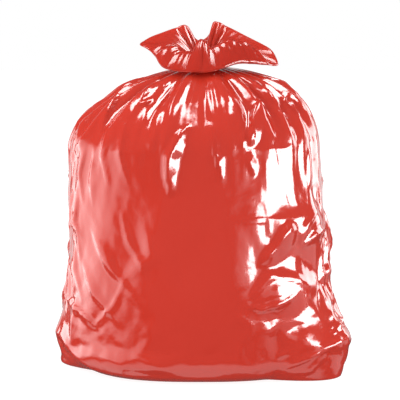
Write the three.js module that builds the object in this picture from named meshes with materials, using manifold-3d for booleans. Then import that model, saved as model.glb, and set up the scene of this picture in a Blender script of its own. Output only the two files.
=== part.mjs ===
// A filled garbage bag of blown plastic film, tied shut and standing on a level floor.
// The bag is one tube of film, sealed across the bottom. Its bottom corners stick out as ears, its shoulders
// are drawn together in pleats, and a strip of the same film ties the neck. Above the tie the mouth fans out
// in ruffles: a wing to each side, a raised back, and an apron that hangs over the tie in front.
// Millimetres, +Z up. The front faces -Y, and the origin is on the floor under the middle of the bag.

import * as THREE from "three";
import Module from "manifold-3d";
import { mergeVertices } from "three/addons/utils/BufferGeometryUtils.js";

// Heights of the filled body.
const bellyHeight = 120;
const shoulderHeight = 382;
const neckHeight = 512;

// How far the belly and the shoulders reach from the bag's upright middle line.
const bellyLeft = 225;
const bellyRight = 229;
const bellyFront = 182;
const bellyBack = 174;
const shoulderLeft = 224;
const shoulderRight = 208;
const shoulderFront = 162;
const shoulderBack = 158;
const squareness = 2.35;

// The rounded edge between the wall and the patch that the bag stands on.
const footInset = 42;
const footHeight = 46;

// The ears: the film's two bottom corners. Turns are in degrees, seen from above, from +X.
const leftEarTurn = 180;
const leftEarReach = 252;
const leftEarFoot = 240;
const leftEarTip = 57;
const rightEarTurn = -26;
const rightEarReach = 280;
const rightEarFoot = 262;
const rightEarTip = 66;
const earSpread = 24;
const earFade = 125;
const earSharpness = 1.5;

// The shoulders' pleats: their number, their depth as a share of the reach from the neck, how late they
// deepen on the way up, and how late they close up again at the neck. Down the wall they fade out.
const pleatCount = 19;
const pleatDepth = 0.34;
const pleatGrowth = 2;
const pleatClosing = 10;
const wallPleatDepth = 0.012;
const wallPleatFoot = 150;

// The pleats wander, so they are unevenly spaced: waves in a turn, start and size of each wander, in radians.
const pleatWander = [
  [2, 1, 1.6],
  [3, 2.2, 1.1],
  [7, 0, 0.6],
];

// How full the shoulders are between wall and neck: 2 is a quarter of an ellipse.
const fullnessLeft = 1.7;
const fullnessRight = 2.2;

// The neck, where the film is gathered into a round bundle.
const neckX = 8;
const neckY = 0;
const neckRadius = 14;

// The tie: a strip of film wound round the neck and knotted behind.
const tieWidth = 8;
const tieThickness = 2.2;
const tieClearance = 0.3;
const tieEndGap = 1.5;
const knotWidth = 15;
const knotFlatness = 0.5;
const knotProud = 1.9;
const tailLength = 34;
const tailWidth = 7;
const tailThickness = 1.4;
const tailSpread = 34;
const tailLift = 2.3;
const tailInset = 1.2;

// The mouth: its film's thickness here, how far and how high it fans out from the neck, and its ruffles.
const mouthThickness = 1.6;
const mouthReach = 126;
const mouthRise = 62;
const ruffleCount = 15;
const ruffleHeight = 2.6;
const ruffleRoundness = 0.8;
const ruffleWander = [
  [2, 0.4, 1.5],
  [5, 1.7, 1.3],
];

// The rim's course round the neck, anticlockwise from above: turn from +X in degrees, then the share of the
// mouth's reach and the share of its rise. Right wing, peak, notch, peak, left wing, then the apron.
const rimCourse = [
  [-20, 0.83, -0.1],
  [-9, 0.94, -0.15],
  [-2, 1, -0.13],
  [2.5, 0.93, 0.21],
  [9, 0.79, 0.42],
  [20, 0.58, 0.65],
  [38, 0.44, 0.84],
  [56, 0.37, 0.98],
  [67, 0.35, 0.97],
  [74, 0.33, 0.68],
  [88, 0.32, 0.5],
  [106, 0.33, 0.48],
  [119, 0.37, 0.71],
  [129, 0.39, 0.9],
  [145, 0.48, 0.82],
  [158, 0.59, 0.71],
  [171, 0.75, 0.56],
  [180, 0.86, 0.4],
  [190, 0.75, 0.29],
  [203, 0.7, 0.11],
  [216, 0.67, -0.15],
  [234, 0.59, -0.24],
  [255, 0.56, -0.26],
  [277, 0.56, -0.26],
  [297, 0.59, -0.15],
  [318, 0.64, -0.05],
];

// How the mouth's film rolls over between neck and rim: turn in degrees, height of the roll as a share of the
// mouth's rise, and lateness of its crest. At 1 the crest is half way out, and above 1 it is nearer to the rim.
const mouthRolls = [
  [0, 0.1, 1.2],
  [40, 0.06, 1],
  [65, 0, 1],
  [100, 0.1, 1],
  [130, 0.03, 1],
  [160, 0.06, 1],
  [180, 0.13, 1],
  [200, 0.32, 1.3],
  [220, 0.39, 1.2],
  [245, 0.42, 1],
  [256, 0.61, 0.8],
  [268, 0.71, 0.8],
  [280, 0.48, 0.9],
  [300, 0.48, 1.2],
  [320, 0.58, 1.6],
  [340, 0.55, 1.8],
  [352, 0.26, 1.6],
];

// How finely the film is faceted.
const aroundCount = 120;
const footRows = 5;
const wallRows = 8;
const shoulderRows = 12;
const mouthRows = 10;
const rimSteps = 1920;
const bandFacets = 48;
const knotFacets = 20;
const knotRings = 12;
const tailSteps = 10;

const filmRed = 0xcf3a2c;
const neckTop = neckHeight + tieWidth + 2 * tieEndGap;
const fullTurn = 360;
const { clamp, degToRad, lerp, radToDeg, smoothstep } = THREE.MathUtils;

const ears = [
  { turn: degToRad(leftEarTurn), reach: leftEarReach, foot: leftEarFoot, tip: leftEarTip },
  { turn: degToRad(rightEarTurn), reach: rightEarReach, foot: rightEarFoot, tip: rightEarTip },
];

/** Turns, in radians, of the points round one row of the film. */
const turns = Array.from({ length: aroundCount }, (_, i) => (2 * Math.PI * i) / aroundCount);

/** Difference between two turns, in radians, from -pi to pi. */
function turnBetween(a, b) {
  return Math.atan2(Math.sin(a - b), Math.cos(a - b));
}

/** How far a set of wanders shifts the folds at a turn, in radians. */
function wanderAt(wanders, turn) {
  return wanders.reduce((shift, [waves, start, size]) => shift + size * Math.sin(waves * turn + start), 0);
}

/** The pleats' course round the bag: 0 on a ridge and 1 in a valley. */
function pleatAt(turn) {
  return 0.5 + 0.5 * Math.cos(pleatCount * turn + wanderAt(pleatWander, turn));
}

/** A point of the body's wall, without ears, at a turn and a height. */
function wallPoint(turn, height) {
  const up = smoothstep(height, bellyHeight, shoulderHeight);
  const [c, s] = [Math.cos(turn), Math.sin(turn)];
  const reachX = c > 0 ? lerp(bellyRight, shoulderRight, up) : lerp(bellyLeft, shoulderLeft, up);
  const reachY = s > 0 ? lerp(bellyBack, shoulderBack, up) : lerp(bellyFront, shoulderFront, up);
  const power = 2 / squareness;
  const x = reachX * Math.sign(c) * Math.abs(c) ** power;
  const y = reachY * Math.sign(s) * Math.abs(s) ** power;
  return new THREE.Vector3(x, y, height);
}

/** How far an ear's folded edge reaches at a height, past a wall that reaches wallReach there. */
function earEdge(ear, height, wallReach) {
  if (height < ear.tip) {
    return lerp(ear.foot, ear.reach, height / ear.tip);
  }
  const fade = clamp((height - ear.tip) / earFade, 0, 1);
  return lerp(ear.reach, wallReach, 1 - (1 - fade) ** 2);
}

/** Pulls a point of the wall or foot out into the ears. */
function pullIntoEars(point) {
  for (const ear of ears) {
    const off = Math.abs(turnBetween(Math.atan2(point.y, point.x), ear.turn)) / degToRad(earSpread);
    if (off >= 1) {
      continue;
    }
    const reach = Math.hypot(point.x, point.y);
    const nearness = Math.cos((off * Math.PI) / 2) ** earSharpness;
    const extra = Math.max(0, earEdge(ear, point.z, reach) - reach) * nearness;
    point.x += (extra * point.x) / reach;
    point.y += (extra * point.y) / reach;
  }
  return point;
}

/** Rows of the rounded foot, from the standing patch up to the wall. */
function footRowsOfFilm() {
  return Array.from({ length: footRows }, (_, row) => {
    const angle = (row / footRows) * (Math.PI / 2);
    const height = footHeight * (1 - Math.cos(angle));
    const inset = footInset * (1 - Math.sin(angle));
    return turns.map((turn) => {
      const point = wallPoint(turn, height);
      const share = 1 - inset / Math.hypot(point.x, point.y);
      point.x *= share;
      point.y *= share;
      return pullIntoEars(point);
    });
  });
}

/** Rows of the wall, from the foot up to just below the shoulders. */
function wallRowsOfFilm() {
  return Array.from({ length: wallRows }, (_, row) => {
    const height = lerp(footHeight, shoulderHeight, row / wallRows);
    const depth = wallPleatDepth * smoothstep(height, wallPleatFoot, shoulderHeight);
    return turns.map((turn) => {
      const point = pullIntoEars(wallPoint(turn, height));
      const share = 1 - depth * pleatAt(turn);
      return point.multiply(new THREE.Vector3(share, share, 1));
    });
  });
}

/** A point of the round, gathered neck. */
function neckPoint(turn, height) {
  return new THREE.Vector3(
    neckX + neckRadius * Math.cos(turn),
    neckY + neckRadius * Math.sin(turn),
    height,
  );
}

/** Rows of the pleated shoulders, from the wall's top up to the neck. */
function shoulderRowsOfFilm() {
  return Array.from({ length: shoulderRows }, (_, row) => {
    const share = Math.sin((row / shoulderRows) * (Math.PI / 2));
    const depth = wallPleatDepth + pleatDepth * share ** pleatGrowth * (1 - share ** pleatClosing);
    return turns.map((turn) => {
      const fullness = lerp(fullnessLeft, fullnessRight, 0.5 + 0.5 * Math.cos(turn));
      const outward = (1 - share ** fullness) ** (1 / fullness);
      const neck = neckPoint(turn, neckHeight);
      const reach = outward * (1 - depth * pleatAt(turn));
      const point = wallPoint(turn, shoulderHeight).sub(neck).multiplyScalar(reach);
      point.add(neck);
      point.z = lerp(shoulderHeight, neckHeight, share);
      return point;
    });
  });
}

/** The rim of the mouth, as a closed curve. */
function rimCurve() {
  const points = rimCourse.map(([turn, reachShare, riseShare]) => {
    const angle = degToRad(turn);
    return new THREE.Vector3(
      neckX + mouthReach * reachShare * Math.cos(angle),
      neckY + mouthReach * reachShare * Math.sin(angle),
      neckTop + mouthRise * riseShare,
    );
  });
  return new THREE.CatmullRomCurve3(points, true, "catmullrom", 0.5);
}

/** For each turn, the point of the rim that lies in that direction from the neck. */
function rimPoints() {
  const fine = rimCurve().getPoints(rimSteps);
  return turns.map((turn) => {
    const off = fine.map((p) => Math.abs(turnBetween(Math.atan2(p.y - neckY, p.x - neckX), turn)));
    return fine[off.indexOf(Math.min(...off))];
  });
}

/** Height and lateness of the mouth's roll at a turn, blended from the two rolls next to it. */
function rollAt(turn) {
  const degrees = radToDeg(turn) % fullTurn;
  const after = mouthRolls.findIndex(([at]) => at > degrees);
  const [low, lowHeight, lowLateness] = mouthRolls.at(after < 0 ? -1 : after - 1);
  const [high, highHeight, highLateness] = mouthRolls[Math.max(after, 0)];
  const share = (degrees - low) / ((high - low + fullTurn) % fullTurn);
  return [mouthRise * lerp(lowHeight, highHeight, share), lerp(lowLateness, highLateness, share)];
}

/** The outward normal of row r at point i, from its neighbours along the row and across the rows. */
function rowNormal(rows, r, i) {
  const [below, above] = [rows[Math.max(r - 1, 0)][i], rows[Math.min(r + 1, rows.length - 1)][i]];
  const [last, next] = [rows[r][(i + aroundCount - 1) % aroundCount], rows[r][(i + 1) % aroundCount]];
  return next.clone().sub(last).cross(above.clone().sub(below)).normalize();
}

/** Rows of the mouth's outer face, without ruffles, from the neck's top to the rim. */
function smoothMouthRows() {
  const rim = rimPoints();
  return Array.from({ length: mouthRows + 1 }, (_, row) => {
    const share = row / mouthRows;
    return turns.map((turn, i) => {
      const [height, lateness] = rollAt(turn);
      const point = neckPoint(turn, neckTop).lerp(rim[i], share);
      point.z += height * Math.sin(Math.PI * share ** lateness);
      return point;
    });
  });
}

/** Rows of the mouth's outer face, with the ruffles that run out from the neck and fade at the rim. */
function mouthRowsOfFilm() {
  const smooth = smoothMouthRows();
  return smooth.map((row, r) => {
    const depth = ruffleHeight * Math.max(0, Math.sin((Math.PI * r) / mouthRows)) ** ruffleRoundness;
    return row.map((point, i) => {
      const phase = (ruffleCount / 2) * turns[i] + wanderAt(ruffleWander, turns[i]);
      const ruffle = 1 - 2 * Math.abs(Math.sin(phase)) ** ruffleRoundness;
      return point.clone().addScaledVector(rowNormal(smooth, r, i), depth * ruffle);
    });
  });
}

/** The mouth's inner face: its outer face moved in by the film's thickness, from the rim back down. */
function innerRowsOf(rows) {
  const inner = rows.map((row, r) =>
    row.map((point, i) => point.clone().addScaledVector(rowNormal(rows, r, i), -mouthThickness)),
  );
  return inner.reverse();
}

/** A closed mesh over rows of points, with a middle point closing the first row and the last. */
function closedSkin(rows) {
  const firstMiddle = new THREE.Vector3();
  const lastMiddle = new THREE.Vector3();
  rows[0].forEach((point) => firstMiddle.addScaledVector(point, 1 / aroundCount));
  rows.at(-1).forEach((point) => lastMiddle.addScaledVector(point, 1 / aroundCount));
  const points = [...rows.flat(), firstMiddle, lastMiddle];
  const [first, last] = [points.length - 2, points.length - 1];
  const top = (rows.length - 1) * aroundCount;
  const faces = [];
  for (let i = 0; i < aroundCount; i++) {
    const j = (i + 1) % aroundCount;
    faces.push(first, j, i, last, top + i, top + j);
    for (let r = 0; r < rows.length - 1; r++) {
      const [low, high] = [r * aroundCount, (r + 1) * aroundCount];
      faces.push(low + i, low + j, high + j, low + i, high + j, high + i);
    }
  }
  const geometry = new THREE.BufferGeometry().setFromPoints(points);
  geometry.setIndex(faces);
  geometry.computeVertexNormals();
  return geometry;
}

/** The bag: film and filling as one closed body, up to the rim of its mouth. */
function bagGeometry() {
  const mouth = mouthRowsOfFilm();
  const body = [...footRowsOfFilm(), ...wallRowsOfFilm(), ...shoulderRowsOfFilm()];
  const gather = turns.map((turn) => neckPoint(turn, neckHeight));
  return closedSkin([...body, gather, ...mouth, ...innerRowsOf(mouth)]);
}

/** A geometry as a solid that can be joined to others. */
function solidOf(wasm, geometry) {
  const bare = geometry.clone();
  bare.deleteAttribute("normal");
  bare.deleteAttribute("uv");
  const merged = mergeVertices(bare);
  return new wasm.Manifold(
    new wasm.Mesh({
      numProp: 3,
      vertProperties: new Float32Array(merged.attributes.position.array),
      triVerts: new Uint32Array(merged.index.array),
    }),
  );
}

/** A solid as a geometry. */
function geometryOf(solid) {
  const mesh = solid.getMesh();
  const geometry = new THREE.BufferGeometry();
  geometry.setAttribute("position", new THREE.BufferAttribute(mesh.vertProperties, 3));
  geometry.setIndex(new THREE.BufferAttribute(mesh.triVerts, 1));
  geometry.computeVertexNormals();
  return geometry;
}

/** The tie's loop: a flat band round the neck. */
function bandGeometry() {
  const inner = neckRadius + tieClearance;
  const outer = inner + tieThickness;
  const profile = [
    [inner, 0],
    [outer, 0],
    [outer, tieWidth],
    [inner, tieWidth],
    [inner, 0],
  ].map(([radius, height]) => new THREE.Vector2(radius, height));
  return new THREE.LatheGeometry(profile, bandFacets).rotateX(Math.PI / 2);
}

/** The tie's knot: a flattened lump on the back of the loop. */
function knotGeometry() {
  const knot = new THREE.SphereGeometry(knotWidth / 2, knotFacets, knotRings);
  knot.scale(1, knotFlatness, tieWidth / knotWidth);
  return knot.translate(0, neckRadius + tieClearance + tieThickness + knotProud, tieWidth / 2);
}

/** One loose end of the tie, leaving the knot to the side that sign gives and drooping a little. */
function tailGeometry(sign) {
  const start = new THREE.Vector3(0, neckRadius + tieClearance + tailInset, tieWidth / 2);
  const lean = degToRad(tailSpread);
  const way = new THREE.Vector3(sign * Math.sin(lean), Math.cos(lean), 0);
  const middle = start.clone().addScaledVector(way, tailLength / 2).add(new THREE.Vector3(0, 0, tailLift));
  const end = start.clone().addScaledVector(way, tailLength).add(new THREE.Vector3(0, 0, -tailThickness));
  const path = new THREE.QuadraticBezierCurve3(start, middle, end);
  const section = new THREE.Shape([
    new THREE.Vector2(-tailWidth / 2, -tailThickness / 2),
    new THREE.Vector2(tailWidth / 2, -tailThickness / 2),
    new THREE.Vector2(tailWidth / 2, tailThickness / 2),
    new THREE.Vector2(-tailWidth / 2, tailThickness / 2),
  ]);
  return new THREE.ExtrudeGeometry(section, { steps: tailSteps, extrudePath: path });
}

/** The tie, as one solid: loop, knot and two loose ends. */
function tieGeometry(wasm) {
  const pieces = [bandGeometry(), knotGeometry(), tailGeometry(-1), tailGeometry(1)];
  const solids = pieces.map((piece) => solidOf(wasm, piece));
  return geometryOf(solids.reduce((joined, solid) => joined.add(solid)));
}

/** A named mesh of red film. */
function filmMesh(name, geometry) {
  const material = new THREE.MeshStandardMaterial({ color: filmRed, roughness: 0.22, metalness: 0 });
  const mesh = new THREE.Mesh(geometry, material);
  mesh.name = name;
  return mesh;
}

const wasm = await Module();
wasm.setup();

const bag = filmMesh("bag", bagGeometry());
const tie = filmMesh("tie_strip", tieGeometry(wasm));
tie.position.set(neckX, neckY, neckHeight + tieEndGap);

const tiedBag = new THREE.Group();
tiedBag.add(bag, tie);

// The origin goes under the middle of the whole bag.
tiedBag.updateMatrixWorld(true);
const extent = new THREE.Box3().setFromObject(tiedBag, true);
tiedBag.position.set(-(extent.min.x + extent.max.x) / 2, -(extent.min.y + extent.max.y) / 2, -extent.min.z);

export default tiedBag;
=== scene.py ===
"""A filled garbage bag of glossy red film, tied shut and standing on a pale studio floor.

The bag is one tube of film: a sole, a wall with two ears, pleated shoulders, a gathered neck and a fanned mouth.
Its filled body is settled by a cloth simulation and then creased, and its mouth is grown from the neck.
Lengths are in millimetres until a mesh is put in place, which turns them into metres.
"""

import logging
import math
import random
from dataclasses import dataclass, field
from enum import Enum

import bmesh
import bpy
import numpy as np
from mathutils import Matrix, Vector, noise


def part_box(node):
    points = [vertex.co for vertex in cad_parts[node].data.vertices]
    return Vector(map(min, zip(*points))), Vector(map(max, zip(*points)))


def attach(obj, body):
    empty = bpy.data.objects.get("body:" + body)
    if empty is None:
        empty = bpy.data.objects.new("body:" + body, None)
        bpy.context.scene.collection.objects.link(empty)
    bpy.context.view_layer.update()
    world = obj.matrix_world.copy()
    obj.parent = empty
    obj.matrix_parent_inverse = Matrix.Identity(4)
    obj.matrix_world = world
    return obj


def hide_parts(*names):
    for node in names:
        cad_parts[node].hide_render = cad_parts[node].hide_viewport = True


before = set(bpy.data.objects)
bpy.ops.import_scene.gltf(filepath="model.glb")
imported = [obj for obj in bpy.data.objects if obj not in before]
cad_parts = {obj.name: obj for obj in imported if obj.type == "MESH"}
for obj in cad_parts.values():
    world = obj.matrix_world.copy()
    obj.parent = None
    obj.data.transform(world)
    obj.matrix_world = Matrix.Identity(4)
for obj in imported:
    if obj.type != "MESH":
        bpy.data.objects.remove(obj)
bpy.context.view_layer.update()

log = logging.getLogger("garbage_bag")

MM = 0.001


def smooth_between(low: float, high: float, value: np.ndarray) -> np.ndarray:
    """Rise smoothly from 0 at low to 1 at high.

    Args:
        low: Where the rise starts.
        high: Where it ends.
        value: The places to look at.

    Returns:
        The rise at each place.
    """
    share = np.clip((value - low) / (high - low), 0.0, 1.0)
    return share * share * (3.0 - 2.0 * share)


def mix(first: np.ndarray, second: np.ndarray, share: np.ndarray) -> np.ndarray:
    """Blend from first, at share 0, to second, at share 1."""
    return first + (second - first) * share


def turn_between(turn: np.ndarray, other: float) -> np.ndarray:
    """Give the angle from other to turn, in radians, from -pi to pi."""
    return np.arctan2(np.sin(turn - other), np.cos(turn - other))


def points_of(mesh: bpy.types.Mesh) -> np.ndarray:
    """Read a mesh's points as rows of x, y, z."""
    flat = np.empty(len(mesh.vertices) * 3, dtype=np.float32)
    mesh.vertices.foreach_get("co", flat)
    return flat.reshape(-1, 3).astype(float)


def set_points(mesh: bpy.types.Mesh, points: np.ndarray) -> None:
    """Write rows of x, y, z back to a mesh."""
    mesh.vertices.foreach_set("co", points.astype(np.float32).ravel())
    mesh.update()


def normals_of(mesh: bpy.types.Mesh) -> np.ndarray:
    """Read a mesh's point normals as rows of x, y, z."""
    flat = np.empty(len(mesh.vertices) * 3, dtype=np.float32)
    mesh.vertex_normals.foreach_get("vector", flat)
    return flat.reshape(-1, 3).astype(float)


def cloud(points: np.ndarray, grain: float, seed: float) -> np.ndarray:
    """Sample smooth noise at points.

    Args:
        points: Places, in millimetres.
        grain: Size of one lump, in millimetres.
        seed: Moves the pattern, so that two clouds differ.

    Returns:
        A value from about -1 to 1 at each place.
    """
    spread = Vector((seed, 2.0 * seed, -seed))
    return np.array([noise.noise(Vector(point) / grain + spread) for point in points])


def open_tube(name: str, around: int, rings: np.ndarray) -> bpy.types.Mesh:
    """Make an open tube of film: a circle, extruded once for each ring, and then shaped ring by ring.

    Args:
        name: The mesh's name.
        around: How many points a ring has.
        rings: Where the points go, in millimetres: one row for each ring, from the first turn round.

    Returns:
        The tube's mesh, in metres.
    """
    shape = bmesh.new()
    bmesh.ops.create_circle(shape, cap_ends=False, segments=around, radius=1.0)
    edge = list(shape.edges)
    for _ in range(len(rings) - 1):
        made = bmesh.ops.extrude_edge_only(shape, edges=edge)["geom"]
        points = [part for part in made if isinstance(part, bmesh.types.BMVert)]
        bmesh.ops.translate(shape, verts=points, vec=(0, 0, 1))
        edge = [part for part in made if isinstance(part, bmesh.types.BMEdge)]
    bmesh.ops.recalc_face_normals(shape, faces=shape.faces)

    def number_of(point: bmesh.types.BMVert) -> int:
        """Number a point: ring by ring, and round each ring."""
        turn = round(math.atan2(point.co.y, point.co.x) / (2 * math.pi) * around) % around
        return round(point.co.z) * around + turn

    shape.verts.sort(key=number_of)
    shape.verts.index_update()
    shape.edges.sort(key=lambda part: [point.index for point in part.verts][0] * len(shape.verts)
                     + sum(point.index for point in part.verts))
    shape.faces.sort(key=lambda part: sum(point.index for point in part.verts)
                     + min(point.index for point in part.verts) * 8 * len(shape.verts))
    mesh = bpy.data.meshes.new(name)
    shape.to_mesh(mesh)
    shape.free()
    set_points(mesh, rings.reshape(-1, 3) * MM)
    return mesh


def ring_numbers(around: int, rings: int) -> np.ndarray:
    """Number the ring of each point of an open tube, in the order in which extruding makes them."""
    return np.repeat(np.arange(rings), around)


def object_from(name: str, mesh: bpy.types.Mesh) -> bpy.types.Object:
    """Put a mesh in the scene as a named object at the origin."""
    thing = bpy.data.objects.new(name, mesh)
    bpy.context.scene.collection.objects.link(thing)
    return thing


def facets(points: np.ndarray, grain: float, seed: float) -> np.ndarray:
    """Sample creased noise at points: flat-sided lumps that meet in sharp valleys.

    Args:
        points: Places, in millimetres.
        grain: Size of one facet, in millimetres.
        seed: Moves the pattern, so that two patterns differ.

    Returns:
        A value from about -1 to 1 at each place.
    """
    spread = Vector((seed, -seed, 2.0 * seed))
    lumps = np.empty(len(points))
    for i, point in enumerate(points):
        place = Vector(point) / grain + spread
        place += 0.5 * noise.noise_vector(place * 1.3)
        lumps[i] = noise.voronoi(place)[0][0]
    return 1.0 - 2.2 * lumps


class Profile(Enum):
    """How a fold looks across its line."""

    RIDGE = "rounded on both sides"
    CREASE = "a sharp line with both sides falling away"
    LAP = "steep to the right of its line's way, and a flat slope to the left"


@dataclass(frozen=True)
class Fold:
    """A fold of the film, drawn as a line on the bag as it is seen from one side.

    Its line is given across and up the picture, in millimetres, from the floor's middle.
    """

    line: tuple[tuple[float, float], ...]
    width: float
    depth: float
    profile: Profile = Profile.RIDGE

    def height_at(self, across: np.ndarray, up: np.ndarray) -> np.ndarray:
        """Work out how far the fold lifts the film.

        Args:
            across: Places across the picture.
            up: Places up the picture.

        Returns:
            The lift at each place, in millimetres.
        """
        lengths = [math.dist(a, b) for a, b in zip(self.line, self.line[1:])]
        whole = sum(lengths)
        best = np.full(across.shape, 1e9)
        side = np.zeros(across.shape)
        along = np.zeros(across.shape)
        passed = 0.0
        for (ax, ay), (bx, by), length in zip(self.line, self.line[1:], lengths):
            way_x, way_y = (bx - ax) / length, (by - ay) / length
            step = np.clip((across - ax) * way_x + (up - ay) * way_y, 0.0, length)
            off_x, off_y = across - ax - step * way_x, up - ay - step * way_y
            distance = np.hypot(off_x, off_y)
            nearer = distance < best
            best = np.where(nearer, distance, best)
            side = np.where(nearer, way_x * off_y - way_y * off_x, side)
            along = np.where(nearer, (passed + step) / whole, along)
            passed += length
        taper = np.sin(np.pi * np.clip(along, 0.0, 1.0)) ** 0.7
        width = self.width * (0.35 + 0.65 * taper)
        if self.profile is Profile.RIDGE:
            shape = np.exp(-((best / width) ** 2))
        elif self.profile is Profile.CREASE:
            shape = np.exp(-best / width)
        else:
            steep = np.exp(-((best / (0.22 * width)) ** 2))
            slope = np.clip(1.0 - best / width, 0.0, 1.0)
            shape = np.where(side > 0.0, slope, steep)
        return self.depth * taper * shape


@dataclass(frozen=True)
class Sight:
    """A way of looking at the bag: its folds are drawn on the side that faces this way.

    reach gives how far round they go: they fade in where the film's facing goes from its first value to its second.
    """

    azimuth: float
    elevation: float
    folds: tuple[Fold, ...]
    reach: tuple[float, float] = (-0.1, 0.25)

    def lift(self, points: np.ndarray, normals: np.ndarray) -> np.ndarray:
        """Work out how far all folds of this side lift the film.

        Args:
            points: The film's points, in millimetres.
            normals: The film's normals there.

        Returns:
            The lift at each point, in millimetres.
        """
        turn, rise = math.radians(self.azimuth), math.radians(self.elevation)
        right = np.array([math.cos(turn), math.sin(turn), 0.0])
        back = np.array([-math.sin(turn), math.cos(turn), 0.0])
        upward = np.array([0.0, 0.0, math.cos(rise)]) + back * math.sin(rise)
        across, up = points @ right, points @ upward
        facing = smooth_between(*self.reach, -(normals @ back) + 0.35 * normals[:, 2])
        lifted = np.zeros(len(points))
        for fold in self.folds:
            lifted += fold.height_at(across, up)
        return lifted * facing


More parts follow.
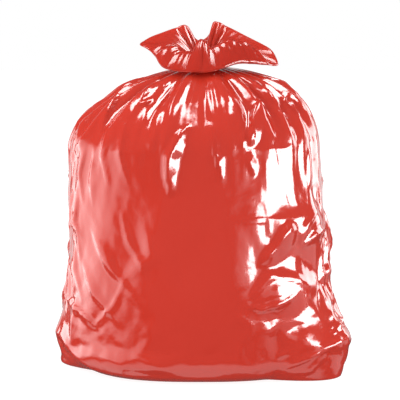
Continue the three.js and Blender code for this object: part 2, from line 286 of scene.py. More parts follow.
FRONT_FOLDS = (
    Fold(((-15, 403), (-34, 382), (-50, 348), (-51, 317), (-45, 283)), 20, 13, Profile.LAP),
    Fold(((24, 400), (24, 365), (36, 311)), 9, 6, Profile.LAP),
    Fold(((99, 444), (86, 403), (81, 365)), 22, 13, Profile.LAP),
    Fold(((72, 393), (69, 362)), 7, 3.5, Profile.LAP),
    Fold(((81, 357), (82, 338), (89, 317)), 11, 5, Profile.LAP),
    Fold(((147, 244), (123, 203), (98, 173)), 26, 12, Profile.LAP),
    Fold(((-180, 236), (-150, 170), (-112, 128)), 14, 4, Profile.LAP),
    Fold(((-128, 262), (-118, 214), (-88, 160)), 12, 3, Profile.LAP),
    Fold(((-196, 180), (-172, 120), (-128, 70)), 13, 4, Profile.LAP),
    Fold(((-120, 150), (-140, 108), (-178, 66)), 12, 3.5, Profile.LAP),
    Fold(((-150, 404), (-160, 352), (-148, 300)), 11, 3.5, Profile.LAP),
    Fold(((-112, 300), (-128, 352), (-120, 410)), 11, 3, Profile.LAP),
    Fold(((209, 237), (183, 220), (166, 201)), 12, 6, Profile.LAP),
    Fold(((127, 21), (151, 28)), 8, 4, Profile.LAP),
    Fold(((144, 2), (180, 18), (212, 33), (252, 52)), 12, 6, Profile.LAP),
    Fold(((212, 47), (230, 67), (248, 88)), 9, 5, Profile.LAP),
    Fold(((171, -18), (192, 6), (209, 26)), 9, 4, Profile.LAP),
    Fold(((75, 108), (99, 98), (134, 108), (159, 124)), 11, 6, Profile.LAP),
    Fold(((77, 112), (116, 156), (154, 150), (188, 136)), 7, 3, Profile.RIDGE),
    Fold(((3, 504), (15, 492), (31, 473)), 11, 6, Profile.LAP),
    Fold(((21, 509), (31, 489), (39, 465)), 13, 7, Profile.LAP),
    Fold(((41, 508), (65, 489), (93, 466)), 13, 7, Profile.LAP),
    Fold(((53, 511), (106, 492), (158, 470)), 9, 5, Profile.LAP),
    Fold(((91, 485), (106, 465), (120, 444), (139, 429)), 10, 5.5, Profile.LAP),
    Fold(((106, 492), (139, 478), (173, 456)), 8, 4, Profile.LAP),
    Fold(((156, 453), (178, 425)), 8, 4, Profile.LAP),
    Fold(((135, 429), (151, 460)), 7, 3.5, Profile.LAP),
    Fold(((144, 444), (171, 417)), 8, 4, Profile.LAP),
    Fold(((-161, 449), (-134, 465), (-111, 478), (-89, 494)), 13, 7, Profile.LAP),
    Fold(((-94, 475), (-70, 494)), 8, 4.5, Profile.LAP),
    Fold(((-96, 439), (-81, 465), (-58, 492)), 8, 4.5, Profile.LAP),
    Fold(((-58, 463), (-48, 478)), 9, 5, Profile.LAP),
    Fold(((-99, 439), (-91, 434), (-75, 444)), 8, 5, Profile.LAP),
    Fold(((-164, 386), (-151, 420), (-132, 460)), 13, 6, Profile.LAP),
    Fold(((-185, 424), (-199, 403), (-207, 377)), 9, 3.5, Profile.LAP),
    Fold(((-212, 382), (-202, 413), (-183, 437)), 9, 4, Profile.LAP),
    Fold(((-173, 369), (-180, 314), (-175, 266)), 10, 3, Profile.LAP),
    Fold(((-192, 271), (-199, 323), (-188, 365)), 9, 3, Profile.LAP),
    Fold(((-207, 352), (-212, 297), (-207, 254)), 8, 3, Profile.LAP),
    Fold(((-195, 215), (-206, 242), (-202, 287)), 11, 4, Profile.LAP),
    Fold(((-194, 115), (-207, 163), (-206, 206)), 12, 4.5, Profile.LAP),
    Fold(((-164, 62), (-195, 93), (-230, 122)), 12, 5, Profile.LAP),
    Fold(((-218, 115), (-209, 74), (-219, 43)), 9, 3, Profile.LAP),
    Fold(((-250, 57), (-209, 19), (-164, -15)), 9, 4.5, Profile.CREASE),
    Fold(((-127, 31), (-82, 12), (-33, -12)), 8, 2, Profile.CREASE),
    Fold(((-202, 43), (-164, 23), (-116, 0)), 7, 2, Profile.CREASE),
    Fold(((-91, 237), (-72, 185), (-101, 170), (-132, 134)), 11, 2.5, Profile.RIDGE),
    Fold(((-134, 136), (-110, 124), (-94, 103)), 9, 2, Profile.RIDGE),
    Fold(((-178, 259), (-161, 211), (-134, 151)), 9, 2.5, Profile.RIDGE),
    Fold(((-14, 487), (-7, 451), (-17, 403)), 13, 2.5, Profile.RIDGE),
    Fold(((2, 482), (10, 451), (22, 410)), 9, 2.5, Profile.RIDGE),
    Fold(((-87, 444), (-84, 365)), 6, 1.4, Profile.RIDGE),
    Fold(((-67, 454), (-69, 382)), 6, 1.4, Profile.RIDGE),
    Fold(((-41, 451), (-48, 396)), 7, 1.6, Profile.RIDGE),
    Fold(((50, 362), (31, 336), (9, 302)), 5, 1.6, Profile.CREASE),
    Fold(((21, 365), (33, 335), (38, 304)), 5, 1.6, Profile.CREASE),
    Fold(((45, 360), (106, 360), (137, 362), (175, 369)), 4, 1.6, Profile.CREASE),
    Fold(((-158, 357), (-103, 358), (-55, 355)), 4, 1.1, Profile.CREASE),
    Fold(((48, 244), (111, 245), (163, 252), (214, 275)), 4, 1.6, Profile.CREASE),
    Fold(((104, 365), (111, 305), (113, 245), (108, 173)), 4, 1.4, Profile.CREASE),
    Fold(((164, 201), (171, 235), (194, 266)), 9, 4, Profile.LAP),
    Fold(((192, 400), (199, 340), (195, 271)), 7, 2.5, Profile.RIDGE),
    Fold(((62, 91), (86, 71), (79, 50)), 8, 2, Profile.RIDGE),
    Fold(((86, 57), (154, 78), (209, 88)), 7, 2, Profile.CREASE),
    Fold(((209, 132), (219, 108), (216, 78)), 10, 3.5, Profile.LAP),
    Fold(((88, 112), (140, 126), (200, 140)), 36, 11, Profile.RIDGE),
    Fold(((110, 226), (163, 232), (222, 246)), 34, 9, Profile.RIDGE),
)

# Where the front's film is taut, so that it hardly crumples: across, up, half width and half height.
TAUT_PLACES = (
    (143, 325, 48, 80), (5, 190, 80, 150), (-36, 345, 26, 62), (88, 400, 24, 44), (26, 355, 16, 45), (125, 212, 40, 42),
)


def scattered_folds(seed: int, half_width: float, count: int = 30) -> tuple[Fold, ...]:
    """Draw folds for a side that the photograph doesn't show: most run down from the neck, and some lie across.

    Args:
        seed: Picks the folds, so that two sides differ.
        half_width: How far the side reaches to the left and right, in millimetres.
        count: How many folds to draw.

    Returns:
        The folds.
    """
    pick = random.Random(seed)
    folds = []
    for number in range(count):
        across, up = pick.uniform(-0.85, 0.85) * half_width, pick.uniform(60, 440)
        length = pick.uniform(35, 110)
        steep = number % 4 != 0
        lean = pick.uniform(-0.25, 0.25) if steep else pick.uniform(-1.4, 1.4)
        fan = 0.5 * across / half_width * (up / 440)
        way_x, way_y = math.sin(lean + fan), -math.cos(lean + fan)
        bend = pick.uniform(-0.12, 0.12) * length
        middle = (across + way_x * length / 2 + way_y * bend, up + way_y * length / 2 - way_x * bend)
        end = (across + way_x * length, up + way_y * length)
        depth = pick.uniform(2.5, 6.5)
        shape = pick.choice((Profile.LAP, Profile.LAP, Profile.RIDGE, Profile.CREASE))
        line = ((across, up), middle, end) if pick.random() < 0.5 else (end, middle, (across, up))
        folds.append(Fold(line, pick.uniform(1.7, 2.4) * depth, depth, shape))
    return tuple(folds)


@dataclass(frozen=True)
class Ear:
    """A bottom corner of the film that sticks out of the filled body."""

    turn: float
    reach: float
    foot: float
    tip: float


@dataclass
class BodyFilm:
    """The filled body: the film from its sole up to the gathered neck."""

    belly_height: float = 120
    shoulder_height: float = 382
    neck_height: float = 512
    neck_top: float = 523
    belly_left: float = 225
    belly_right: float = 229
    belly_front: float = 182
    belly_back: float = 174
    shoulder_left: float = 224
    shoulder_right: float = 208
    shoulder_front: float = 162
    shoulder_back: float = 158
    squareness: float = 2.35
    foot_inset: float = 42
    foot_height: float = 46
    ears: tuple[Ear, ...] = (Ear(180, 252, 240, 57), Ear(-26, 280, 262, 66))
    ear_spread: float = 24
    ear_fade: float = 125
    ear_sharpness: float = 1.5
    fullness_left: float = 1.7
    fullness_right: float = 2.2
    neck_x: float = 8
    neck_radius: float = 14
    pleats: int = 19
    pleat_depth: float = 0.34
    around: int = 176
    sole_rows: int = 5
    foot_rows: int = 8
    wall_rows: int = 38
    shoulder_rows: int = 28
    neck_rows: int = 3
    frames: int = 20

    def fold_at(self, turn: np.ndarray) -> np.ndarray:
        """Give the pleats' course round the bag: 0 on a ridge and 1 in a valley, unevenly spaced."""
        wander = 1.6 * np.sin(2 * turn + 1) + 1.1 * np.sin(3 * turn + 2.2) + 0.6 * np.sin(7 * turn)
        return 0.5 + 0.5 * np.cos(self.pleats * turn + wander)

    def wall(self, turn: np.ndarray, height: float) -> np.ndarray:
        """Give the wall's points, without ears, at turns and one height."""
        up = float(smooth_between(self.belly_height, self.shoulder_height, np.array(height)))
        c, s = np.cos(turn), np.sin(turn)
        right, left = mix(self.belly_right, self.shoulder_right, up), mix(self.belly_left, self.shoulder_left, up)
        back, front = mix(self.belly_back, self.shoulder_back, up), mix(self.belly_front, self.shoulder_front, up)
        power = 2 / self.squareness
        x = np.where(c > 0, right, left) * np.sign(c) * np.abs(c) ** power
        y = np.where(s > 0, back, front) * np.sign(s) * np.abs(s) ** power
        return np.stack([x, y, np.full(turn.shape, float(height))], axis=1)

    def pulled_into_ears(self, ring: np.ndarray) -> np.ndarray:
        """Pull a ring of the wall or foot out into the ears."""
        for ear in self.ears:
            off = np.abs(turn_between(np.arctan2(ring[:, 1], ring[:, 0]), math.radians(ear.turn)))
            off = np.clip(off / math.radians(self.ear_spread), 0, 1)
            reach = np.hypot(ring[:, 0], ring[:, 1])
            height = ring[0, 2]
            if height < ear.tip:
                edge = np.full(reach.shape, mix(ear.foot, ear.reach, height / ear.tip))
            else:
                fade = min((height - ear.tip) / self.ear_fade, 1.0)
                edge = mix(ear.reach, reach, 1 - (1 - fade) ** 2)
            extra = np.maximum(edge - reach, 0) * np.cos(off * math.pi / 2) ** self.ear_sharpness
            ring[:, :2] *= (1 + extra / reach)[:, None]
        return ring

    def foot_ring(self, turn: np.ndarray, share: float) -> np.ndarray:
        """Give a ring of the rounded foot, from the sole at share 0 to the wall at share 1."""
        angle = share * math.pi / 2
        ring = self.wall(turn, self.foot_height * (1 - math.cos(angle)))
        inset = self.foot_inset * (1 - math.sin(angle))
        ring[:, :2] *= (1 - inset / np.hypot(ring[:, 0], ring[:, 1]))[:, None]
        return self.pulled_into_ears(ring)

    def shoulder_ring(self, turn: np.ndarray, share: float) -> np.ndarray:
        """Give a ring of the pleated shoulders, from the wall at share 0 to the neck at share 1."""
        full = mix(self.fullness_left, self.fullness_right, 0.5 + 0.5 * np.cos(turn))
        outward = (1 - share**full) ** (1 / full)
        depth = 0.012 + self.pleat_depth * share**2 * (1 - share**10)
        neck = self.neck_ring(turn, self.neck_height)
        ring = neck + (self.wall(turn, self.shoulder_height) - neck) * (
            outward * (1 - depth * self.fold_at(turn))
        )[:, None]
        ring[:, 2] = mix(self.shoulder_height, self.neck_height, share)
        return ring

    def neck_ring(self, turn: np.ndarray, height: float) -> np.ndarray:
        """Give a ring of the gathered neck."""
        x = self.neck_x + self.neck_radius * np.cos(turn)
        y = self.neck_radius * np.sin(turn)
        return np.stack([x, y, np.full(turn.shape, float(height))], axis=1)

    def rings(self, turn: np.ndarray) -> tuple[np.ndarray, np.ndarray, np.ndarray]:
        """Work out the filled shape, ring by ring.

        Args:
            turn: The turns of the points round a ring.

        Returns:
            The rings, how much wider the film of each ring is than the filled shape, and how firmly the
            simulation holds each ring.
        """
        rings, slack, hold = [], [], []
        sole = self.foot_ring(turn, 0.0)
        for row in range(1, self.sole_rows):
            rings.append(sole * np.array([row / self.sole_rows, row / self.sole_rows, 1]))
            slack.append(1.0)
            hold.append(1.0)
        for row in range(self.foot_rows):
            rings.append(self.foot_ring(turn, row / self.foot_rows))
            slack.append(1.0)
            hold.append(max(0.0, 1 - 1.6 * row / self.foot_rows))
        for row in range(self.wall_rows):
            height = float(mix(self.foot_height, self.shoulder_height, row / self.wall_rows))
            ring = self.pulled_into_ears(self.wall(turn, height))
            high = float(smooth_between(150, self.shoulder_height, np.array(height)))
            ring[:, :2] *= (1 - 0.012 * high * self.fold_at(turn))[:, None]
            rings.append(ring)
            slack.append(1 + 0.05 * row / self.wall_rows)
            hold.append(0.0)
        for row in range(self.shoulder_rows + 1):
            share = math.sin(row / self.shoulder_rows * math.pi / 2)
            rings.append(self.shoulder_ring(turn, share))
            slack.append(1.05 + 0.55 * share**2 + 12 * max(0.0, share - 0.9))
            hold.append(1.0 if row == self.shoulder_rows else 0.0)
        for row in range(1, self.neck_rows + 1):
            height = float(mix(self.neck_height, self.neck_top, row / self.neck_rows))
            rings.append(self.neck_ring(turn, height))
            slack.append(2.8)
            hold.append(1.0)
        return np.array(rings), np.array(slack), np.array(hold)

    def build(self) -> bpy.types.Object:
        """Make the body, settle it round its filling, and refine its mesh once."""
        turn = np.arange(self.around) * 2 * math.pi / self.around
        rings, slack, hold = self.rings(turn)
        mesh = open_tube("bag_film", self.around, rings)
        film = object_from("bag_film", mesh)
        self.settle(film, rings, self.loose_rings(rings, slack), hold)
        finer = film.modifiers.new("finer", "SUBSURF")
        finer.levels = finer.render_levels = 1
        refined = bpy.data.meshes.new_from_object(film.evaluated_get(bpy.context.evaluated_depsgraph_get()))
        film.modifiers.clear()
        film.data = refined
        refined.name = "bag_film"
        return film

    def loose_rings(self, rings: np.ndarray, slack: np.ndarray) -> np.ndarray:
        """Work out the film's unstretched shape: wider rings, with the same lengths between them."""
        middle = rings.mean(axis=1, keepdims=True)
        loose = rings.copy()
        loose[:, :, :2] = (middle + (rings - middle) * slack[:, None, None])[:, :, :2]
        height = 0.0
        for row in range(1, len(rings)):
            length = np.linalg.norm(rings[row] - rings[row - 1], axis=1).mean()
            out = np.linalg.norm((loose[row] - loose[row - 1])[:, :2], axis=1).mean()
            height += math.sqrt(max(length**2 - out**2, (0.2 * length) ** 2)) if row >= self.sole_rows else 0.0
            loose[row, :, 2] = height
        return loose

    def filling(self, rings: np.ndarray) -> bpy.types.Object:
        """Make the solid filling that the film settles on, a little inside the filled shape."""
        middle = rings.mean(axis=1, keepdims=True)
        inner = rings.copy()
        inner[:, :, :2] = (middle + (rings - middle) * 0.965)[:, :, :2]
        inner[:, :, 2] = inner[:, :, 2] * 0.985 + 2
        return object_from("filling", open_tube("filling", self.around, inner))

    def settle(self, film: bpy.types.Object, rings: np.ndarray, loose: np.ndarray, hold: np.ndarray) -> None:
        """Let the film settle round its filling under gravity and a little air, and apply the result.

        Args:
            film: The film, in its filled shape.
            rings: The filled shape's rings.
            loose: The rings of the film's unstretched shape.
            hold: How firmly each ring is held.
        """
        scene = bpy.context.scene
        film.shape_key_add(name="filled")
        unstretched = film.shape_key_add(name="unstretched")
        free = open_tube("unstretched", self.around, loose)
        unstretched.data.foreach_set("co", points_of(free).astype(np.float32).ravel())
        bpy.data.meshes.remove(free)
        unstretched.value = 0
        held = film.vertex_groups.new(name="held")
        ring = ring_numbers(self.around, len(rings))
        for number, firmness in enumerate(hold.tolist()):
            if firmness > 0:
                held.add(np.flatnonzero(ring == number).tolist(), firmness, "REPLACE")
        filling = self.filling(rings)
        filling.modifiers.new("Collision", "COLLISION")
        filling.collision.thickness_outer = 0.002
        filling.collision.thickness_inner = 0.03
        filling.collision.cloth_friction = 8
        cloth = film.modifiers.new("Cloth", "CLOTH")
        cloth.point_cache.frame_start, cloth.point_cache.frame_end = 1, self.frames
        settings = cloth.settings
        settings.quality = 6
        settings.mass = 0.05
        settings.tension_stiffness = 40
        settings.compression_stiffness = 20
        settings.shear_stiffness = 15
        settings.bending_stiffness = 0.02
        settings.tension_damping = settings.compression_damping = settings.shear_damping = 5
        settings.vertex_group_mass = "held"
        settings.pin_stiffness = 1.0
        settings.rest_shape_key = unstretched
        settings.use_pressure = True
        settings.uniform_pressure_force = 0.3
        cloth.collision_settings.distance_min = 0.002
        cloth.collision_settings.use_self_collision = False
        scene.frame_start, scene.frame_end = 1, self.frames
        for step in range(1, self.frames + 1):
            scene.frame_set(step)
        settled = bpy.data.meshes.new_from_object(film.evaluated_get(bpy.context.evaluated_depsgraph_get()))
        film.modifiers.clear()
        film.shape_key_clear()
        set_points(film.data, points_of(settled))
        bpy.data.meshes.remove(settled)
        bpy.data.objects.remove(filling)
        scene.frame_set(1)


@dataclass
class MouthFilm:
    """The mouth: the film above the tie, fanned out in two wings, with an apron rolled over in front.

    course gives the rim: turn in degrees, reach from the neck's middle and rise above its top. rolls gives how high
    the film arches between neck and rim, and how far out its crest is: turn, height and lateness.
    """

    thickness: float = 0.8
    rows: int = 26
    course: tuple[tuple[float, float, float], ...] = (
        (-20, 104, -6), (-9, 118, -9), (-2, 126, -8), (2.5, 117, 13), (9, 99, 26), (20, 73, 40), (38, 55, 52),
        (56, 46, 61), (67, 44, 60), (74, 42, 42), (88, 40, 31), (106, 42, 30), (119, 46, 44), (129, 49, 56),
        (145, 60, 51), (158, 74, 44), (171, 95, 35), (180, 108, 25), (190, 95, 18), (203, 88, 7), (216, 85, -9),
        (234, 74, -15), (255, 70, -16), (277, 70, -16), (297, 74, -9), (318, 81, -3),
    )
    rolls: tuple[tuple[float, float, float], ...] = (
        (0, 6, 1.2), (40, 4, 1), (65, 0, 1), (100, 6, 1), (130, 2, 1), (160, 4, 1), (180, 8, 1), (200, 20, 1.3),
        (220, 24, 1.2), (245, 26, 1), (256, 38, 0.8), (268, 44, 0.8), (280, 30, 0.9), (300, 30, 1.2),
        (320, 36, 1.6), (340, 34, 1.8), (352, 16, 1.6),
    )
    pleats: int = 15
    pleat_depth: float = 2.6

    def rim(self, turn: np.ndarray, neck: np.ndarray) -> np.ndarray:
        """Give the rim's point for each turn: a smooth closed course through the chosen points.

        Args:
            turn: The turns of the points round the rim.
            neck: The neck's middle at its top.

        Returns:
            The rim's points.
        """
        angles = np.radians([t for t, _, _ in self.course])
        places = np.array([
            (reach * math.cos(a), reach * math.sin(a), rise) for a, (_, reach, rise) in zip(angles, self.course)
        ])
        count = len(places)
        steps = np.linspace(0, 1, 60, endpoint=False)[:, None]
        fine = []
        for i in range(count):
            a, b, c, d = (places[(i + k) % count] for k in (-1, 0, 1, 2))
            fine.append(0.5 * (2 * b + (c - a) * steps + (2 * a - 5 * b + 4 * c - d) * steps**2
                               + (3 * b - a - 3 * c + d) * steps**3))
        fine = np.concatenate(fine)
        fine_turn = np.arctan2(fine[:, 1], fine[:, 0])
        nearest = [int(np.argmin(np.abs(turn_between(fine_turn, t)))) for t in turn]
        return fine[nearest] + neck

    def sheet(self, turn: np.ndarray, neck: np.ndarray, radius: float) -> np.ndarray:
        """Work out the mouth's outer face, row by row from the neck's top to the rim."""
        rim = self.rim(turn, neck)
        away = np.stack([np.cos(turn), np.sin(turn), 0 * turn], axis=1)
        base = neck + radius * away
        degrees, heights, lateness = np.array(self.rolls).T
        at = np.degrees(turn) % 360
        roll = np.interp(at, degrees, heights, period=360)
        late = np.interp(at, degrees, lateness, period=360)
        rows = []
        for row in range(self.rows + 1):
            share = row / self.rows
            point = base + (rim - base) * share
            point[:, 2] += roll * np.sin(math.pi * share**late)
            rows.append(point)
        rows = np.array(rows)
        share = np.linspace(0, 1, self.rows + 1)[:, None]
        wander = 1.5 * np.sin(2 * turn + 0.4) + 1.3 * np.sin(5 * turn + 1.7)
        pleat = 1 - 2 * np.abs(np.sin(0.5 * self.pleats * turn + wander)) ** 0.8
        fine = np.sin(43 * turn + 2 * np.sin(3 * turn))
        depth = self.pleat_depth * np.sin(math.pi * np.clip(share * 0.9 + 0.04, 0, 1)) ** 0.8
        lift = depth * pleat + 0.3 * np.sin(math.pi * share) * fine
        return rows + self.normals(rows) * lift[:, :, None]

    @staticmethod
    def normals(rows: np.ndarray) -> np.ndarray:
        """Give the outward normals of rows of points."""
        along = np.roll(rows, -1, axis=1) - np.roll(rows, 1, axis=1)
        normal = np.cross(along, np.gradient(rows, axis=0))
        return normal / np.maximum(np.linalg.norm(normal, axis=2, keepdims=True), 1e-9)

    def grow(self, film: bpy.types.Object, body: BodyFilm) -> None:
        """Grow the mouth from the body's open top ring: out to the rim, and back inside to a closed middle.

        Args:
            film: The body's film.
            body: The body's sizes.
        """
        around = 2 * body.around
        turn = np.arange(around) * 2 * math.pi / around
        neck = np.array([body.neck_x, 0, body.neck_top])
        outer = self.sheet(turn, neck, body.neck_radius)
        outer[0] = body.neck_ring(turn, body.neck_top)
        rings = np.concatenate([outer, self.inside_of(outer)[::-1]])
        points = points_of(film.data) / MM
        top = points[:, 2] > body.neck_top - 0.2
        place = np.round(np.arctan2(points[top, 1], points[top, 0] - body.neck_x) / (2 * math.pi) * around)
        points[top] = outer[0][place.astype(int) % around]
        set_points(film.data, points * MM)
        kept = len(points)
        mouth = open_tube("mouth", around, rings)
        shape = bmesh.new()
        shape.from_mesh(film.data)
        shape.from_mesh(mesh=mouth)
        single = shape.verts.layers.float.new("single_film")
        shape.verts.ensure_lookup_table()
        share = np.concatenate([np.linspace(0, 1, len(outer)), np.linspace(1, 0, len(outer))])
        for vert, ring in zip(shape.verts[kept:], ring_numbers(around, len(rings))):
            vert[single] = share[ring]
        bmesh.ops.remove_doubles(shape, verts=shape.verts, dist=0.01 * MM)
        bmesh.ops.holes_fill(shape, edges=[e for e in shape.edges if e.is_boundary])
        bmesh.ops.triangulate(shape, faces=[f for f in shape.faces if len(f.verts) > 4])
        bmesh.ops.recalc_face_normals(shape, faces=shape.faces)
        shape.to_mesh(film.data)
        shape.free()
        bpy.data.meshes.remove(mouth)

    def inside_of(self, outer: np.ndarray) -> np.ndarray:
        """Give the film's inner face: the outer face moved in by the film's thickness."""
        return outer - self.thickness * self.normals(outer)


@dataclass(frozen=True)
class FilmFinish:
    """Glossy polyethylene film: a deep red with a hard gloss and fine crinkles."""

    name: str = "red_film"
    colour: tuple[float, float, float] = (0.4, 0.024, 0.013)
    gloss: float = 0.11
    glow: tuple[float, float, float] = (1.0, 0.3, 0.22)
    see_through: float = 0.4

    def material(self) -> bpy.types.Material:
        """Make the finish's material."""
        made = bpy.data.materials.new(self.name)
        made.use_nodes = True
        nodes, links = made.node_tree.nodes, made.node_tree.links
        shader = nodes["Principled BSDF"]
        shader.inputs["Base Color"].default_value = (*self.colour, 1)
        shader.inputs["Roughness"].default_value = self.gloss
        shader.inputs["IOR"].default_value = 1.78
        place = nodes.new("ShaderNodeTexCoord")
        crinkle = nodes.new("ShaderNodeTexNoise")
        crinkle.inputs["Scale"].default_value = 26
        crinkle.inputs["Detail"].default_value = 3
        bump = nodes.new("ShaderNodeBump")
        bump.inputs["Strength"].default_value = 0.25
        bump.inputs["Distance"].default_value = 0.004
        links.new(place.outputs["Object"], crinkle.inputs["Vector"])
        links.new(crinkle.outputs["Fac"], bump.inputs["Height"])
        links.new(bump.outputs["Normal"], shader.inputs["Normal"])
        through = nodes.new("ShaderNodeBsdfTranslucent")
        through.inputs["Color"].default_value = (*self.glow, 1)
        single = nodes.new("ShaderNodeAttribute")
        single.attribute_name = "single_film"
        much = nodes.new("ShaderNodeMath")
        much.operation = "MULTIPLY"
        much.inputs[1].default_value = self.see_through
        blend = nodes.new("ShaderNodeMixShader")
        links.new(single.outputs["Fac"], much.inputs[0])
        links.new(much.outputs["Value"], blend.inputs["Fac"])
        links.new(shader.outputs["BSDF"], blend.inputs[1])
        links.new(through.outputs["BSDF"], blend.inputs[2])
        links.new(blend.outputs["Shader"], nodes["Material Output"].inputs["Surface"])
        return made


def neck_place(body: BodyFilm) -> np.ndarray:
    """Find the neck's middle, at the floor's height, from the tie that goes round it in the frame."""
    low, high = (Vector(corner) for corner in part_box("tie_strip"))
    return np.array([(low.x + high.x) / 2, low.y + (body.neck_radius + 2.5) * MM, 0])


@dataclass
class TieStrip:
    """The tie: a folded strip of film wound twice round the neck, its knot behind, and its two loose ends."""

    height: float = 513.5
    width: float = 8
    thickness: float = 2.2
    clearance: float = 0.3
    knot_width: float = 15
    tail_length: float = 34
    tail_width: float = 7
    tail_thickness: float = 1.2
    tail_spread: float = 34
    tail_lift: float = 2.3
    around: int = 24
    steps: int = 180
    tail_steps: int = 40

    def turns(self, body: BodyFilm) -> np.ndarray:
        """Give the rings of the winding: a flat, creased section carried round the neck, back to its start."""
        go = np.arange(self.steps + 1)[:, None] / self.steps * 2 * math.pi
        spin = np.arange(self.around)[None, :] / self.around * 2 * math.pi
        inner = body.neck_radius + self.clearance
        out = np.sign(np.cos(spin)) * np.abs(np.cos(spin)) ** 0.6
        up = np.sign(np.sin(spin)) * np.abs(np.sin(spin)) ** 0.8
        pinch = 1 - 0.12 * np.clip(np.sin(2 * spin + 0.6), 0, 1) * (1 + np.sin(5 * go))
        groove = 0.45 * np.exp(-((up / 0.16) ** 2)) * np.clip(out, 0, 1)
        crease = 0.3 * np.maximum(0, np.sin(23 * go + 4 * up + 2 * np.sin(3 * go))) * np.clip(out, 0, 1)
        radius = inner + self.thickness / 2 * (1 + out * pinch) - groove - crease * (1 - groove)
        height = self.height + self.width / 2 * (1 + 0.97 * up) + 0 * go
        return np.stack([radius * np.cos(go), radius * np.sin(go), height], axis=2)

    def tail(self, body: BodyFilm, sign: int) -> np.ndarray:
        """Give the rings of one loose end, which droops, twists and curls a little.

        Args:
            body: The body's sizes.
            sign: 1 for the end on +X, and -1 for the other.

        Returns:
            Its rings, in millimetres.
        """
        lean = math.radians(self.tail_spread)
        way = np.array([sign * math.sin(lean), math.cos(lean), 0])
        side = np.array([way[1], -way[0], 0])
        start = np.array([0, body.neck_radius + 1.5, self.height + self.width / 2])
        spin = np.arange(self.around) / self.around * 2 * math.pi
        rings = []
        for share in np.linspace(0, 1, self.tail_steps):
            lift = self.tail_lift * math.sin(math.pi * share) - self.tail_thickness * share**2
            middle = start + way * self.tail_length * share + np.array([0, 0, lift])
            wide = self.tail_width / 2 * (0.55 + 0.45 * math.sin(math.pi * min(1, 0.15 + 0.7 * share)))
            turn = sign * 0.25 * math.sin(2.2 * math.pi * share)
            flat = side * math.cos(turn) + np.array([0, 0, math.sin(turn)])
            square = np.array([0, 0, math.cos(turn)]) - side * math.sin(turn)
            wave = 0.4 * np.sin(2.5 * np.cos(spin) * 2 + 9 * share)
            rings.append(middle + np.outer(np.cos(spin) * wide, flat)
                         + np.outer(self.tail_thickness / 2 * (np.sin(spin) + wave), square))
        return np.array(rings)

    def knot(self, body: BodyFilm) -> bpy.types.Mesh:
        """Make the knot: a flattened ball with the wraps of the film across it."""
        shape = bmesh.new()
        bmesh.ops.create_uvsphere(shape, u_segments=40, v_segments=24, radius=1.0)
        for vert in shape.verts:
            x, y, z = vert.co
            wrap = 1 - 0.16 * abs(math.sin(3.2 * (x + 0.7 * z))) ** 3 - 0.06 * math.sin(9 * (z - 0.5 * x))
            vert.co = Vector((
                x * self.knot_width / 2 * wrap,
                y * self.knot_width / 4 * wrap + body.neck_radius + 4.2,
                z * self.width / 2 * wrap + self.height + self.width / 2,
            )) * MM
        mesh = bpy.data.meshes.new("knot")
        shape.to_mesh(mesh)
        shape.free()
        return mesh

    def build(self, body: BodyFilm, finish: "FilmFinish") -> bpy.types.Object:
        """Build, dress and place the tie."""
        pieces = [
            open_tube("winding", self.around, self.turns(body)),
            open_tube("left_end", self.around, self.tail(body, -1)),
            open_tube("right_end", self.around, self.tail(body, 1)),
            self.knot(body),
        ]
        shape = bmesh.new()
        for piece in pieces:
            shape.from_mesh(piece)
            bpy.data.meshes.remove(piece)
        bmesh.ops.remove_doubles(shape, verts=shape.verts, dist=0.005 * MM)
        bmesh.ops.holes_fill(shape, edges=[edge for edge in shape.edges if edge.is_boundary])
        bmesh.ops.recalc_face_normals(shape, faces=shape.faces)
        mesh = bpy.data.meshes.new("tie_film")
        shape.to_mesh(mesh)
        shape.free()
        set_points(mesh, points_of(mesh) + neck_place(body))
        mesh.polygons.foreach_set("use_smooth", [True] * len(mesh.polygons))
        mesh.materials.append(finish.material())
        tie = object_from("tie_film", mesh)
        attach(tie, "root")
        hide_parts("tie_strip")
        return tie


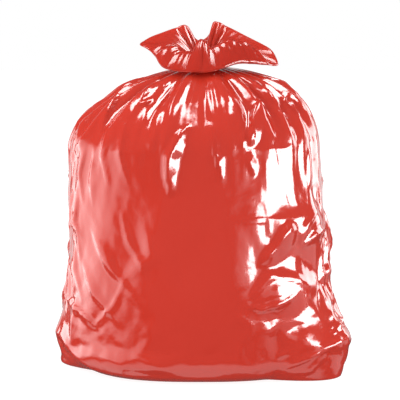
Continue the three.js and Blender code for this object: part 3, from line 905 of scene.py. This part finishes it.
@dataclass
class GarbageBag:
    """The whole bag: body and mouth as one film, with the creases of its front, sides and back."""

    body: BodyFilm = field(default_factory=BodyFilm)
    mouth: MouthFilm = field(default_factory=MouthFilm)
    finish: FilmFinish = field(default_factory=FilmFinish)
    sights: tuple[Sight, ...] = (
        Sight(0, 9, FRONT_FOLDS),
        Sight(90, 0, scattered_folds(5, 160), (0.75, 0.95)),
        Sight(180, 0, scattered_folds(11, 210, 40), (0.1, 0.4)),
        Sight(270, 0, scattered_folds(23, 160), (0.75, 0.95)),
    )

    def crease(self, film: bpy.types.Object) -> None:
        """Press the folds and a light crumple into the body's film."""
        points, normals = points_of(film.data) / MM, normals_of(film.data)
        lifted = np.zeros(len(points))
        for sight in self.sights:
            lifted += sight.lift(points, normals)
        standing = smooth_between(2, 30, points[:, 2]) * (1 - smooth_between(470, 505, points[:, 2]))
        crumple = 3.0 * cloud(points * (1, 1, 0.55), 60, 3.0)
        crumple += 1.2 * facets(points * (1, 1, 0.6), 48, 5.0) + 0.4 * facets(points * (1, 1, 0.7), 21, 9.0)
        turn = np.arctan2(points[:, 1], points[:, 0] - self.body.neck_x)
        round_bag = np.stack([210 * np.cos(turn), 210 * np.sin(turn), 0.12 * points[:, 2]], axis=1)
        crumple += 3.0 * smooth_between(300, 440, points[:, 2]) * cloud(round_bag, 15, 21.0)
        for across, up, half_width, half_height in TAUT_PLACES:
            off = ((points[:, 0] - across) / half_width) ** 2 + ((points[:, 2] - 27 - up) / half_height) ** 2
            crumple *= np.where(points[:, 1] < 0, 1 - 0.8 * np.exp(-(off**2)), 1.0)
        lifted += crumple
        points += normals * (lifted * standing)[:, None]
        set_points(film.data, points * MM)

    def build(self) -> bpy.types.Object:
        """Build, crease, dress and place the bag."""
        film = self.body.build()
        self.crease(film)
        self.mouth.grow(film, self.body)
        set_points(film.data, points_of(film.data) + neck_place(self.body) - np.array([self.body.neck_x * MM, 0, 0]))
        film.data.polygons.foreach_set("use_smooth", [True] * len(film.data.polygons))
        film.data.materials.clear()
        film.data.materials.append(self.finish.material())
        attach(film, "root")
        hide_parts("bag")
        return film


@dataclass(frozen=True)
class Panel:
    """A bright screen that stands in an arc round the bag. Only reflections see it, and its edges fade out.

    Azimuths are in degrees: 0 is in front and 90 to the right. radiance and fade run from the first azimuth to the
    last, and rise is the same for bottom and top: each fade is a share of the screen's length or height. point
    is the height at which the first edge reaches out to a point, and how far it is drawn back above and below.
    """

    name: str
    azimuths: tuple[float, float]
    heights: tuple[float, float]
    distance: float
    radiance: tuple[float, float]
    fade: tuple[float, float] = (0.1, 0.1)
    rise: tuple[float, float] = (0.1, 0.1)
    point: tuple[float, float] | None = None
    steps: int = 64

    def build(self) -> None:
        """Stand the screen up."""
        shape = bmesh.new()
        bmesh.ops.create_grid(shape, x_segments=self.steps, y_segments=self.steps // 2, size=0.5)
        glow = shape.verts.layers.float.new("glow")
        for vert in shape.verts:
            along, up = vert.co.x + 0.5, vert.co.y + 0.5
            turn = math.radians(self.azimuths[0] + (self.azimuths[1] - self.azimuths[0]) * along)
            height = self.heights[0] + (self.heights[1] - self.heights[0]) * up
            vert.co = (self.distance * math.sin(turn), -self.distance * math.cos(turn), height)
            edge = 1.0
            drawn = 0.0
            if self.point is not None:
                tip, draw = self.point
                drawn = draw * float(smooth_between(0, 0.3, np.array(abs(height - tip))))
            for share, width in ((along - drawn, self.fade[0]), (1 - along, self.fade[1]), (up, self.rise[0]),
                                 (1 - up, self.rise[1])):
                edge *= float(smooth_between(0, width, np.array(share))) if width > 0 else 1.0
            vert[glow] = edge * (self.radiance[0] + (self.radiance[1] - self.radiance[0]) * along)
        mesh = bpy.data.meshes.new(self.name)
        shape.to_mesh(mesh)
        shape.free()
        screen = object_from(self.name, mesh)
        bright = bpy.data.materials.new(self.name)
        bright.use_nodes = True
        nodes, links = bright.node_tree.nodes, bright.node_tree.links
        shader = nodes["Principled BSDF"]
        shader.inputs["Base Color"].default_value = (0, 0, 0, 1)
        shader.inputs["Emission Color"].default_value = (1, 1, 1, 1)
        strength = nodes.new("ShaderNodeAttribute")
        strength.attribute_name = "glow"
        links.new(strength.outputs["Fac"], shader.inputs["Emission Strength"])
        mesh.materials.append(bright)
        screen.visible_camera = screen.visible_diffuse = screen.visible_shadow = False
        screen.visible_transmission = False


@dataclass
class Studio:
    """The camera, the pale floor, the screens that the film reflects and the light that its colour sees."""

    distance: float = 3.0
    elevation: float = 9.0
    aim_height: float = 0.283
    picture_width: float = 0.685
    even_light: float = 1.9
    dim_light: float = 0.1
    panels: tuple[Panel, ...] = (
        Panel("left_screen", (-24, -130), (-0.6, 1.0), 1.7, (0.3, 4.0), (0.14, 0.0), (0.25, 0.35), (0.0, 0.08)),
        Panel("floor_screen", (-110, 70), (-1.6, -0.2), 0.75, (1.1, 0.8), (0.1, 0.1), (0.1, 0.15)),
        Panel("front_right_screen", (13, 36), (0.0, 0.5), 1.7, (0.2, 1.4), (0.4, 0.1), (0.2, 0.2)),
        Panel("right_screen", (33, 86), (0.09, 0.68), 1.6, (14, 14), (0.03, 0.02), (0.03, 0.12)),
        Panel("low_right_screen", (20, 110), (-0.9, 0.07), 1.6, (0.3, 1.0), (0.2, 0.1), (0.1, 0.05)),
        Panel("far_right_screen", (102, 132), (0.1, 1.2), 1.5, (6, 6), (0.1, 0.1), (0.1, 0.1)),
        Panel("back_screen", (134, 226), (-0.6, 1.5), 1.9, (1.0, 1.0), (0.1, 0.1), (0.3, 0.5)),
        Panel("upper_right_screen", (20, 130), (1.6, 3.0), 0.9, (13, 13), (0.2, 0.2), (0.1, 0.1)),
        Panel("upper_left_screen", (-130, -35), (1.75, 3.0), 0.9, (11, 11), (0.2, 0.2), (0.1, 0.1)),
    )

    def camera(self) -> None:
        """Place the camera at the photograph's angle."""
        lens = bpy.data.cameras.new("camera")
        lens.sensor_width = 36
        lens.lens = 36 * self.distance / self.picture_width
        eye = object_from("camera", lens)
        rise = math.radians(self.elevation)
        aim = Vector((0, 0, self.aim_height))
        eye.location = aim + Vector((0, -math.cos(rise), math.sin(rise))) * self.distance
        eye.rotation_euler = (aim - eye.location).to_track_quat("-Z", "Y").to_euler()
        bpy.context.scene.camera = eye

    def floor(self) -> None:
        """Lay the plain pale floor."""
        shape = bmesh.new()
        bmesh.ops.create_grid(shape, x_segments=1, y_segments=1, size=6)
        mesh = bpy.data.meshes.new("floor")
        shape.to_mesh(mesh)
        shape.free()
        floor = object_from("floor", mesh)
        floor.location.z = -0.0005
        floor.visible_glossy = False
        pale = bpy.data.materials.new("pale_floor")
        pale.use_nodes = True
        shader = pale.node_tree.nodes["Principled BSDF"]
        shader.inputs["Base Color"].default_value = (0.15, 0.15, 0.15, 1)
        shader.inputs["Roughness"].default_value = 0.8
        shader.inputs["Emission Color"].default_value = (1, 1, 1, 1)
        shader.inputs["Emission Strength"].default_value = 0.9
        mesh.materials.append(pale)

    def soft_box(self, name: str, azimuth: float, height: float, distance: float,
                 size: tuple[float, float], radiance: float) -> None:
        """Hang a soft box that faces the bag.

        Args:
            name: What the box is called.
            azimuth: Where it stands: 0 is in front, 90 to the right.
            height: Height of its middle.
            distance: How far it stands from the bag.
            size: Its width and height.
            radiance: How bright its face is.
        """
        light = bpy.data.lights.new(name, "AREA")
        light.shape = "RECTANGLE"
        light.size, light.size_y = size
        light.energy = radiance * size[0] * size[1] * math.pi
        box = object_from(name, light)
        turn = math.radians(azimuth)
        box.location = (distance * math.sin(turn), -distance * math.cos(turn), height)
        aim = Vector((0, 0, min(height, 0.3)))
        box.rotation_euler = (aim - box.location).to_track_quat("-Z", "Y").to_euler()
        box.visible_glossy = False

    def backdrop(self) -> None:
        """Surround the studio with soft light, which the camera sees as plain white."""
        world = bpy.data.worlds.new("studio")
        world.use_nodes = True
        nodes, links = world.node_tree.nodes, world.node_tree.links
        light = nodes["Background"]
        light.inputs["Color"].default_value = (1, 1, 1, 1)
        light.inputs["Strength"].default_value = self.even_light
        dim = nodes.new("ShaderNodeBackground")
        dim.inputs["Strength"].default_value = self.dim_light
        dim.inputs["Color"].default_value = (1, 1, 1, 1)
        white = nodes.new("ShaderNodeBackground")
        white.inputs["Strength"].default_value = 1.0
        white.inputs["Color"].default_value = (1, 1, 1, 1)
        seen = nodes.new("ShaderNodeLightPath")
        choose = nodes.new("ShaderNodeMixShader")
        links.new(seen.outputs["Is Camera Ray"], choose.inputs["Fac"])
        reflect = nodes.new("ShaderNodeMixShader")
        links.new(seen.outputs["Is Glossy Ray"], reflect.inputs["Fac"])
        links.new(light.outputs["Background"], reflect.inputs[1])
        links.new(dim.outputs["Background"], reflect.inputs[2])
        links.new(reflect.outputs["Shader"], choose.inputs[1])
        links.new(white.outputs["Background"], choose.inputs[2])
        links.new(choose.outputs["Shader"], nodes["World Output"].inputs["Surface"])
        bpy.context.scene.world = world

    def build(self) -> None:
        """Set the whole studio up."""
        self.camera()
        self.floor()
        for panel in self.panels:
            panel.build()
        self.soft_box("left_light", -75, 0.6, 1.5, (1.4, 1.3), 1.6)
        self.backdrop()
        bpy.context.scene.view_settings.view_transform = "Standard"


def main() -> None:
    """Build the studio and the bag, and report each piece."""
    logging.basicConfig(level=logging.INFO, format="%(name)s: %(message)s")
    Studio().build()
    film = GarbageBag().build()
    log.info("%s: %d faces", film.name, len(film.data.polygons))
    tie = TieStrip().build(BodyFilm(), FilmFinish(name="red_strip", colour=(0.36, 0.02, 0.011), gloss=0.2))
    log.info("%s: %d faces", tie.name, len(tie.data.polygons))


if __name__ == "__main__":
    main()
